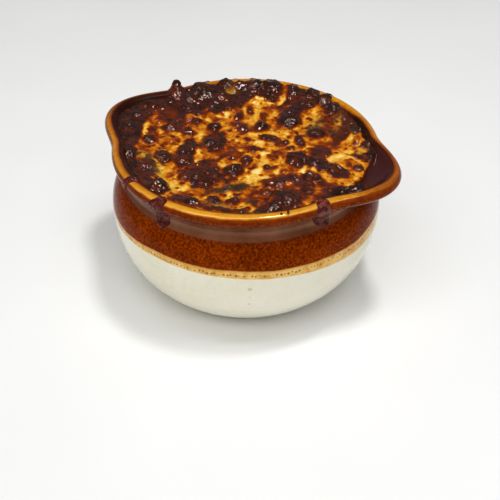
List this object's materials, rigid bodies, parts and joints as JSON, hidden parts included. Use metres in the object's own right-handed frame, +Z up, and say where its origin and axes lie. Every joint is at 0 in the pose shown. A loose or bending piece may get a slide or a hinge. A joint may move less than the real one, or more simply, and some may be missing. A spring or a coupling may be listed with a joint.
{
  "type": "french onion soup",
  "caption": "Lug-eared stoneware crock filled with soup under a browned, blistered cheese crust that has run over the rim.",
  "frame": {"origin": "centre of the crock on the surface its foot ring stands on", "axes": "+Z up along the crock's axis, +X through one ear and -X through the other"},
  "size_m": [0.1505, 0.1296, 0.0786],
  "materials": {
    "stoneware": "glossy two-tone glaze: red-brown above, ivory below, with a caramel band between and an amber rim",
    "broth": "wet, dark brown broth",
    "cheese": "broiled cheese, yellow to near black, with glossy blisters",
    "burnt_juice": "baked-on translucent red-brown juice"
  },
  "bodies": {
    "root": {"crock": "stoneware", "soup": "broth", "cheese_crust": "cheese", "drip_left": "burnt_juice", "drip_rear_left": "burnt_juice", "drip_right": "burnt_juice"}
  },
  "joints": []
}
